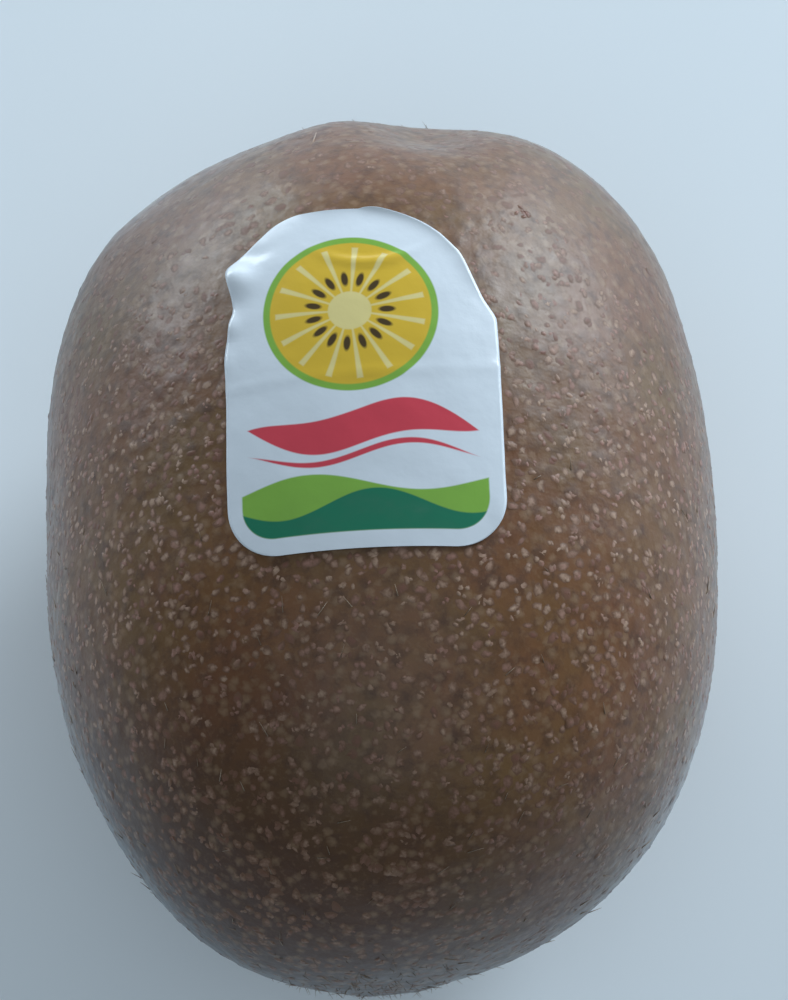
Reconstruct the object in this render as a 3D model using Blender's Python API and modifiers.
"""Golden kiwi fruit lying on its side, with a small vinyl sticker on its upper side.

Metres, +Z up. The fruit's length runs along Y, with the stem end at +Y and the blossom end at -Y.
The origin is on the resting plane, below the middle of the fruit.

A place on the skin is given by two angles seen from the fruit's centre: `around` goes round the
length from +X towards +Z, and `along` goes from the middle towards the stem end.
"""

import math
import random

import bmesh
import bpy
import numpy as np
from mathutils import Matrix, Vector

MM = 0.001

# The fruit's size, and how square its two ends are: 2 is an ellipse, and more is fuller
LENGTH = 73 * MM
WIDTH = 56 * MM
HEIGHT = 52 * MM
STEM_END_FULLNESS = 2.42
BLOSSOM_END_FULLNESS = 2.31
FULLNESS_BLEND = 0.6

# Low swellings and hollows of the flesh: around, along and spread in degrees, then the rise
SWELLINGS = {
    "right shoulder": (8, 58, 20, 1.6 * MM),
    "right corner": (45, 62, 9, 0.35 * MM),
    "left upper flank": (178, 34, 20, 1.4 * MM),
    "left upper edge": (165, 48, 12, 0.95 * MM),
    "left slope": (150, 60, 10, 0.35 * MM),
    "left corner": (168, 66, 14, -0.6 * MM),
    "left flank": (180, -48, 20, -0.5 * MM),
    "blossom end right": (20, -68, 20, -1.1 * MM),
    "blossom end left": (160, -78, 18, 0.7 * MM),
    "dip in the stem rim": (75, 66, 8, -1.4 * MM),
    "crest of the stem rim": (101, 70, 8, 0.5 * MM),
    "stem hollow": (90, 90, 9, -1.7 * MM),
    "blossom boss": (-90, -79, 6, 0.6 * MM),
    "blossom pit": (-90, -79, 2.5, -0.9 * MM),
}

# The skin's mesh, with its rings drawn towards the two ends, where the form is finest
SEGMENTS_AROUND = 80
RINGS_ALONG = 46
RING_DRAW = 0.17
REST_FLAT_DEPTH = 0.2 * MM

# The woody scar where the stem broke off, and the dried sepals that lie round it
SCAR_RADIUS = 2.7 * MM
SCAR_RISE = 0.8 * MM
SCAR_PIT_RADIUS = 1.0 * MM
SCAR_PIT_DEPTH = 0.5 * MM
SCAR_PIT_LIP_SHARE = 1.4
SCAR_TOP_SHARE = 0.8
SCAR_EDGE_HEIGHT_SHARE = 0.5
SCAR_ROOT = 1.2 * MM
SCAR_STEPS = 28
SCAR_MERGE = 0.01 * MM
SEPAL_COUNT = 5
SEPAL_LENGTH = 3.2 * MM
SEPAL_WIDTH = 2.8 * MM
SEPAL_THICKNESS = 0.7 * MM
SEPAL_TAPER = 0.6
SEPAL_TAPER_POWER = 1.5
SEPAL_RING_RADIUS = 3.3 * MM
SEPAL_LIFT = 0.4 * MM
SEPAL_SLOPE = math.radians(12)
SEPAL_TURN_VARIETY = 0.15
SEPAL_LENGTH_VARIETY = (0.8, 1.15)
SEPAL_SEGMENTS = 10
SEPAL_RINGS = 8

# The stubs of dried styles in the ring at the blossom end
STYLE_COUNT = 14
STYLE_LENGTH = 1.5 * MM
STYLE_ROOT = 0.25 * MM
STYLE_RADIUS = 0.32 * MM
STYLE_TIP_RADIUS = 0.15 * MM
STYLE_RING_RADIUS = 1.2 * MM
STYLE_SPLAY = math.radians(24)
STYLE_SIDES = 5
STYLE_TURN_VARIETY = 0.25
STYLE_SPLAY_VARIETY = (0.5, 1.4)
STYLE_LENGTH_VARIETY = (0.8, 1.1)
STYLE_RING_VARIETY = (0.8, 1.25)

# The sticker: its height is measured along the fruit's crest, and its width around its girth
STICKER_HEIGHT = 29.3 * MM
STICKER_FOOT_CORNER = 4.2 * MM
STICKER_LEFT_TOP_CORNER = 1.4 * MM
STICKER_RIGHT_TOP_CORNER = 2.6 * MM
STICKER_THICKNESS = 0.3 * MM
STICKER_GAP = 0.35 * MM
STICKER_CENTRE_ALONG = 6.7 * MM
STICKER_CENTRE_ACROSS = -1.6 * MM
STICKER_TURN = math.radians(1.7)
STICKER_COLUMNS = 16
STICKER_ROWS = 26

# The sticker's cut edge: height above its middle, and how far the edge lies to the side there, in mm
STICKER_LEFT_EDGE = [
    (-8.5, 10.83),
    (1.8, 10.75),
    (3.0, 10.55),
    (4.6, 10.0),
    (6.1, 9.8),
    (7.4, 10.1),
    (8.5, 10.45),
    (9.9, 10.1),
    (11.2, 8.7),
    (12.9, 7.0),
    (14.65, 5.3),
]
STICKER_RIGHT_EDGE = [
    (-8.8, 10.95),
    (4.2, 10.95),
    (5.9, 9.95),
    (7.6, 9.2),
    (10.0, 8.2),
    (11.6, 6.9),
    (13.2, 5.2),
    (14.65, 3.4),
]

# How far the two lines that the sticker is laid along reach, in degrees, and their points
CREST_REACH = 80
CREST_POINTS = 161
GIRTH_REACH = 60
GIRTH_POINTS = 121

SKIN_COLOUR = "#6B5546"
SKIN_ROUGHNESS = 0.6
DRY_COLOUR = "#3E2A1E"
DRY_ROUGHNESS = 0.85
STICKER_COLOUR = "#D5DDE4"
STICKER_ROUGHNESS = 0.3
DRAW_SEED = 7


def linear_colour(code):
    """Turn an sRGB hex code into the linear colour that a shader takes."""
    values = [int(code[i : i + 2], 16) / 255 for i in (1, 3, 5)]
    linear = [v / 12.92 if v <= 0.04045 else ((v + 0.055) / 1.055) ** 2.4 for v in values]
    return (*linear, 1.0)


def principled(name, code, roughness):
    """Make a plain Principled material."""
    material = bpy.data.materials.new(name)
    material.use_nodes = True
    shader = material.node_tree.nodes["Principled BSDF"]
    shader.inputs["Base Color"].default_value = linear_colour(code)
    shader.inputs["Roughness"].default_value = roughness
    return material


def make_object(name, bm, material, collection):
    """Turn a bmesh into a named object with one material."""
    mesh = bpy.data.meshes.new(name)
    bm.to_mesh(mesh)
    bm.free()
    mesh.shade_smooth()
    mesh.materials.append(material)
    obj = bpy.data.objects.new(name, mesh)
    collection.objects.link(obj)
    return obj


def direction(around, along):
    """Unit vector, or an array of them, for a place on the skin."""
    return np.stack(
        [np.cos(along) * np.cos(around), np.sin(along), np.cos(along) * np.sin(around)], axis=-1
    )


def skin_radius(unit):
    """Distance from the fruit's centre to its skin in one direction, or in an array of them."""
    toward_stem = np.clip(0.5 + 0.5 * unit[..., 1] / FULLNESS_BLEND, 0, 1)
    toward_stem = toward_stem * toward_stem * (3 - 2 * toward_stem)
    fullness = BLOSSOM_END_FULLNESS + (STEM_END_FULLNESS - BLOSSOM_END_FULLNESS) * toward_stem
    girth = np.hypot(unit[..., 0] / (WIDTH / 2), unit[..., 2] / (HEIGHT / 2))
    reach = np.abs(unit[..., 1]) / (LENGTH / 2)
    radius = (girth**fullness + reach**fullness) ** (-1 / fullness)
    for around, along, spread, rise in SWELLINGS.values():
        middle = direction(math.radians(around), math.radians(along))
        away = np.arccos(np.clip(unit @ middle, -1, 1))
        radius = radius + rise * np.exp(-((away / math.radians(spread)) ** 2))
    return radius


def skin_point(around, along, lift=0.0):
    """Point on the skin, or a little above it."""
    unit = direction(around, along)
    return unit * (skin_radius(unit) + lift)[..., None]


def fruit_flesh(material, collection):
    """The body: a sphere with its poles at the two ends, drawn out to the skin's form."""
    bm = bmesh.new()
    poles_to_ends = Matrix.Rotation(-math.pi / 2, 4, "X")
    bmesh.ops.create_uvsphere(
        bm, u_segments=SEGMENTS_AROUND, v_segments=RINGS_ALONG, radius=1, matrix=poles_to_ends
    )
    for vert in bm.verts:
        along = math.asin(max(-1.0, min(1.0, vert.co.y)))
        around = math.atan2(vert.co.z, vert.co.x)
        drawn = along + RING_DRAW * math.sin(2 * along)
        vert.co = Vector(skin_point(np.array(around), np.array(drawn)))
    cut_height = min(vert.co.z for vert in bm.verts) + REST_FLAT_DEPTH
    bmesh.ops.bisect_plane(
        bm,
        geom=bm.verts[:] + bm.edges[:] + bm.faces[:],
        plane_co=(0, 0, cut_height),
        plane_no=(0, 0, -1),
        clear_outer=True,
    )
    bmesh.ops.holes_fill(bm, edges=[edge for edge in bm.edges if edge.is_boundary])
    bmesh.ops.recalc_face_normals(bm, faces=bm.faces[:])
    return make_object("fruit", bm, material, collection)


def stem_scar(material, collection):
    """A low woody ring with a pit, turned about the fruit's length and sunk in the stem hollow."""
    profile = [
        (0, SCAR_RISE - SCAR_PIT_DEPTH),
        (SCAR_PIT_RADIUS, SCAR_RISE - SCAR_PIT_DEPTH),
        (SCAR_PIT_RADIUS * SCAR_PIT_LIP_SHARE, SCAR_RISE),
        (SCAR_RADIUS * SCAR_TOP_SHARE, SCAR_RISE),
        (SCAR_RADIUS, SCAR_RISE * SCAR_EDGE_HEIGHT_SHARE),
        (SCAR_RADIUS, -SCAR_ROOT),
        (0, -SCAR_ROOT),
    ]
    bm = bmesh.new()
    verts = [bm.verts.new((across, 0, up)) for across, up in profile]
    for first, second in zip(verts, verts[1:]):
        bm.edges.new((first, second))
    scar = make_object("stem_scar", bm, material, collection)
    screw = scar.modifiers.new("turn", "SCREW")
    screw.steps = SCAR_STEPS
    screw.render_steps = SCAR_STEPS
    screw.use_merge_vertices = True
    screw.merge_threshold = SCAR_MERGE
    hollow_floor = skin_point(np.array(0.0), np.array(math.pi / 2))
    scar.location = Vector(hollow_floor)
    scar.rotation_euler = (-math.pi / 2, 0, 0)


def sepals(material, collection, draw):
    """Small pointed scales of the dried calyx, lying outward round the scar."""
    hollow_floor = Vector(skin_point(np.array(0.0), np.array(math.pi / 2)))
    for number in range(SEPAL_COUNT):
        step = draw.uniform(-SEPAL_TURN_VARIETY, SEPAL_TURN_VARIETY)
        turn = 2 * math.pi * (number + step) / SEPAL_COUNT
        length = SEPAL_LENGTH * draw.uniform(*SEPAL_LENGTH_VARIETY)
        bm = bmesh.new()
        bmesh.ops.create_uvsphere(bm, u_segments=SEPAL_SEGMENTS, v_segments=SEPAL_RINGS, radius=1)
        for vert in bm.verts:
            outward_share = (1 + vert.co.x) / 2
            vert.co.x *= length / 2
            vert.co.y *= SEPAL_WIDTH / 2 * (1 - SEPAL_TAPER * outward_share**SEPAL_TAPER_POWER)
            vert.co.z *= SEPAL_THICKNESS / 2
        place = (
            Matrix.Translation(hollow_floor)
            @ Matrix.Rotation(-math.pi / 2, 4, "X")
            @ Matrix.Rotation(turn, 4, "Z")
            @ Matrix.Translation((SEPAL_RING_RADIUS, 0, SEPAL_LIFT))
            @ Matrix.Rotation(-SEPAL_SLOPE, 4, "Y")
        )
        bmesh.ops.transform(bm, matrix=place, verts=bm.verts[:])
        make_object(f"sepal_{number + 1}", bm, material, collection)


def dried_styles(material, collection, draw):
    """Short stubs in a ring at the blossom end, leaning outward."""
    _, along, _, _ = SWELLINGS["blossom boss"]
    boss_top = Vector(skin_point(np.array(-math.pi / 2), np.array(math.radians(along))))
    face_out = boss_top.to_track_quat("Z", "Y").to_matrix().to_4x4()
    for number in range(STYLE_COUNT):
        step = draw.uniform(-STYLE_TURN_VARIETY, STYLE_TURN_VARIETY)
        turn = 2 * math.pi * (number + step) / STYLE_COUNT
        lean = STYLE_SPLAY * draw.uniform(*STYLE_SPLAY_VARIETY)
        bm = bmesh.new()
        bmesh.ops.create_cone(
            bm,
            cap_ends=True,
            segments=STYLE_SIDES,
            radius1=STYLE_RADIUS,
            radius2=STYLE_TIP_RADIUS,
            depth=STYLE_LENGTH * draw.uniform(*STYLE_LENGTH_VARIETY),
        )
        out = STYLE_RING_RADIUS * draw.uniform(*STYLE_RING_VARIETY)
        place = (
            Matrix.Translation(boss_top)
            @ face_out
            @ Matrix.Rotation(turn, 4, "Z")
            @ Matrix.Translation((out, 0, -STYLE_ROOT))
            @ Matrix.Rotation(lean, 4, "Y")
        )
        bmesh.ops.transform(bm, matrix=place, verts=bm.verts[:])
        make_object(f"style_{number + 1}", bm, material, collection)


def fuse(obj, collection):
    """Join a collection's objects to one object, then remove them."""
    union = obj.modifiers.new("fuse", "BOOLEAN")
    union.operation = "UNION"
    union.operand_type = "COLLECTION"
    union.collection = collection
    union.material_mode = "TRANSFER"
    bpy.context.view_layer.objects.active = obj
    bpy.ops.object.modifier_apply(modifier=union.name)
    for joined in list(collection.objects):
        bpy.data.objects.remove(joined)
    bpy.data.collections.remove(collection)


def cut_edge(up, corners, top_corner):
    """How far the sticker's edge lies to the side at one height, with its foot and top rounded."""
    heights, reaches = np.array(corners).T * MM
    reach = np.interp(up, heights, reaches)
    into_foot = max(0.0, STICKER_FOOT_CORNER - (STICKER_HEIGHT / 2 + up))
    into_top = max(0.0, top_corner - (STICKER_HEIGHT / 2 - up))
    reach -= STICKER_FOOT_CORNER - math.sqrt(STICKER_FOOT_CORNER**2 - into_foot**2)
    return reach - top_corner + math.sqrt(top_corner**2 - into_top**2)


def angle_at_length(angles, points, length):
    """Angle where a line over the skin has run a given length from its middle point."""
    steps = np.linalg.norm(np.diff(points, axis=0), axis=1)
    run = np.concatenate([[0], np.cumsum(steps)])
    return np.interp(length, run - run[len(run) // 2], angles)


def sticker_point(across, up):
    """Point above the skin for a place on the flat sticker."""
    turned_across = across * math.cos(STICKER_TURN) - up * math.sin(STICKER_TURN)
    turned_up = across * math.sin(STICKER_TURN) + up * math.cos(STICKER_TURN)
    along_line = np.radians(np.linspace(-CREST_REACH, CREST_REACH, CREST_POINTS))
    crest = skin_point(np.full_like(along_line, math.pi / 2), along_line)
    along = angle_at_length(along_line, crest, STICKER_CENTRE_ALONG + turned_up)
    from_crest = np.radians(np.linspace(-GIRTH_REACH, GIRTH_REACH, GIRTH_POINTS))
    around_line = math.pi / 2 - from_crest
    girth = skin_point(around_line, np.full_like(around_line, along))
    around = angle_at_length(around_line, girth, STICKER_CENTRE_ACROSS + turned_across)
    return skin_point(around, along, STICKER_GAP)


def sticker(material, collection):
    """A flat label with an arched top, bent over the fruit's crest and given its thickness."""
    bm = bmesh.new()
    bmesh.ops.create_grid(bm, x_segments=STICKER_COLUMNS, y_segments=STICKER_ROWS, size=1)
    for vert in bm.verts:
        up = math.sin(vert.co.y * math.pi / 2) * STICKER_HEIGHT / 2
        left = -cut_edge(up, STICKER_LEFT_EDGE, STICKER_LEFT_TOP_CORNER)
        right = cut_edge(up, STICKER_RIGHT_EDGE, STICKER_RIGHT_TOP_CORNER)
        across = left + (right - left) * (1 + vert.co.x) / 2
        vert.co = Vector(sticker_point(across, up))
    label = make_object("label", bm, material, collection)
    solidify = label.modifiers.new("thickness", "SOLIDIFY")
    solidify.thickness = STICKER_THICKNESS
    solidify.offset = 1
    solidify.use_even_offset = True
    return label


def stand_on_origin(fruit, others):
    """Move the pieces so that the origin is below the middle of the fruit, on its resting flat."""
    corners = np.array([vert.co for vert in fruit.data.vertices])
    low, high = corners.min(axis=0), corners.max(axis=0)
    shift = Matrix.Translation((-(low[0] + high[0]) / 2, -(low[1] + high[1]) / 2, -low[2]))
    for obj in [fruit, *others]:
        obj.data.transform(shift)


def main():
    for obj in list(bpy.data.objects):
        bpy.data.objects.remove(obj)
    draw = random.Random(DRAW_SEED)
    kiwi = bpy.data.collections.new("golden_kiwi_fruit")
    bpy.context.scene.collection.children.link(kiwi)
    ends = bpy.data.collections.new("dried_pieces_of_both_ends")
    bpy.context.scene.collection.children.link(ends)

    skin = principled("kiwi skin", SKIN_COLOUR, SKIN_ROUGHNESS)
    dry = principled("dried stem and styles", DRY_COLOUR, DRY_ROUGHNESS)
    vinyl = principled("white vinyl", STICKER_COLOUR, STICKER_ROUGHNESS)

    fruit = fruit_flesh(skin, kiwi)
    stem_scar(dry, ends)
    sepals(dry, ends, draw)
    dried_styles(dry, ends, draw)
    fuse(fruit, ends)
    label = sticker(vinyl, kiwi)
    stand_on_origin(fruit, [label])


main()
